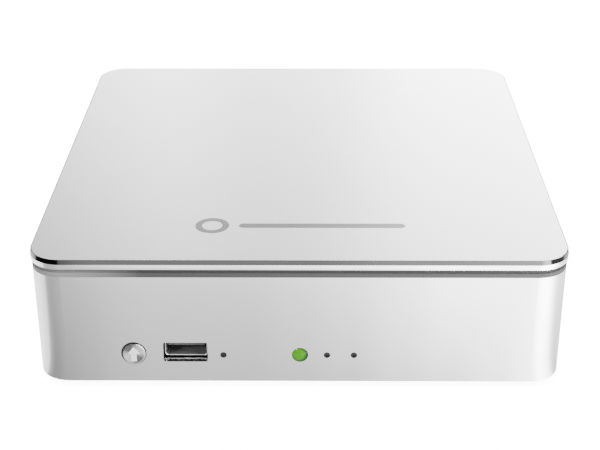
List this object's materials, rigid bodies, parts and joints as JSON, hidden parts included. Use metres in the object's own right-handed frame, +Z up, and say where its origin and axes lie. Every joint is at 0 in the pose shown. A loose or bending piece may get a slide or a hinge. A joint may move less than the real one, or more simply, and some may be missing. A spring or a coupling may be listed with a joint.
{
  "type": "network attached storage",
  "caption": "Flat square desktop network storage box in satin silver with a dark trim groove, one 3.5 inch drive, front host port, copy button and green light.",
  "frame": {"origin": "centre of the footprint on the table, under the feet", "axes": "+X to the right seen from the front, +Y to the rear, +Z up; the front face with the copy button looks along -Y"},
  "size_m": [0.16, 0.1655, 0.0438],
  "materials": {
    "plate_silver": "satin, very fine grain",
    "bead_chrome": "polished",
    "groove_chrome": "dark polished",
    "case_silver": "satin, bead blasted",
    "base_grey": "fine texture",
    "panel_steel": "plated sheet",
    "foot_rubber": "matt",
    "screw_steel": "zinc plated",
    "button_clear": "clear over silver",
    "arrow_white": "printed",
    "switch_black": "moulded",
    "reset_white": "moulded",
    "connector_steel": "nickel plated",
    "connector_black": "moulded",
    "contact_gold": "gold plated",
    "pin_nickel": "nickel plated",
    "lens_green": "glowing",
    "led_white": "moulded",
    "pipe_smoked": "smoked clear",
    "board_green": "solder mask",
    "chip_black": "epoxy",
    "heatsink_aluminium": "extruded",
    "capacitor_sleeve": "shrink sleeve",
    "ferrite_grey": "ferrite",
    "can_steel": "drawn can",
    "bracket_steel": "zinc plated sheet",
    "drive_cast": "cast, black e-coat",
    "drive_lid": "stamped",
    "platter_mirror": "polished",
    "hub_metal": "turned",
    "coil_copper": "enamelled copper",
    "magnet_nickel": "nickel plated",
    "fan_black": "moulded"
  },
  "bodies": {
    "chassis": {"top_plate": "plate_silver", "trim_bead": "bead_chrome", "trim_groove": "groove_chrome", "casing": "case_silver", "base_cover": "base_grey", "rear_panel": "panel_steel", "rubber_feet": "foot_rubber", "case_screws": "screw_steel", "panel_screws": "screw_steel", "copy_switch": "switch_black", "front_usb_shell": "connector_steel", "front_usb_tongue": "connector_black", "front_usb_contacts": "contact_gold", "power_lens": "lens_green", "power_led": "led_white", "light_pipes": "pipe_smoked", "status_leds": "led_white", "main_board": "board_green", "board_screws": "screw_steel", "processor": "chip_black", "heatsink": "heatsink_aluminium", "memory_chips": "chip_black", "flash_chip": "chip_black", "capacitors": "capacitor_sleeve", "inductors": "ferrite_grey", "crystal": "can_steel", "cell_holder": "switch_black", "clock_cell": "can_steel", "lan_shell": "connector_steel", "lan_body": "connector_black", "lan_contacts": "contact_gold", "lan_transformer": "chip_black", "rear_usb_shell": "connector_steel", "rear_usb_tongue": "connector_black", "rear_usb_contacts": "contact_gold", "dc_jack": "connector_black", "dc_pin": "pin_nickel", "power_switch": "switch_black", "reset_switch": "switch_black", "drive_bracket": "bracket_steel", "bracket_screws": "screw_steel", "drive_screws": "screw_steel", "drive_casting": "drive_cast", "drive_cover": "drive_lid", "drive_magnets": "magnet_nickel", "drive_board": "board_green", "drive_connector": "switch_black", "sata_adapter": "board_green", "fan_frame": "fan_black", "fan_screws": "screw_steel"},
    "copy_button": {"copy_button": "button_clear", "copy_arrow": "arrow_white", "copy_plunger": "switch_black"},
    "power_rocker": {"power_rocker": "switch_black"},
    "reset_button": {"reset_button": "reset_white"},
    "fan_rotor": {"fan_rotor": "fan_black"},
    "spindle": {"drive_platters": "platter_mirror", "drive_hub": "hub_metal"},
    "actuator": {"drive_arm": "hub_metal", "drive_coil": "coil_copper"}
  },
  "joints": [
    {"name": "copy_button_press", "type": "slide", "parent": "chassis", "child": "copy_button", "axis": [0, 1, 0], "range_m": [0, 0.0008], "stiffness_N_per_m": 2000, "springref_m": -0.0004},
    {"name": "power_rocker_tilt", "type": "hinge", "parent": "chassis", "child": "power_rocker", "pos_m": [0.049, 0.0798, 0.023], "axis": [-1, 0, 0], "range_deg": [0, 16]},
    {"name": "reset_button_press", "type": "slide", "parent": "chassis", "child": "reset_button", "axis": [0, -1, 0], "range_m": [0, 0.0004], "stiffness_N_per_m": 2000, "springref_m": -0.0003},
    {"name": "fan_spin", "type": "hinge", "parent": "chassis", "child": "fan_rotor", "pos_m": [0.024, 0.0745, 0.0231], "axis": [0, 1, 0], "continuous": true},
    {"name": "platter_spin", "type": "hinge", "parent": "chassis", "child": "spindle", "pos_m": [-0.0247, -0.0102, 0.03], "axis": [0, 0, 1], "continuous": true},
    {"name": "actuator_swing", "type": "hinge", "parent": "chassis", "child": "actuator", "pos_m": [0.0285, 0.014, 0.03], "axis": [0, 0, 1], "range_deg": [0, 28]}
  ]
}
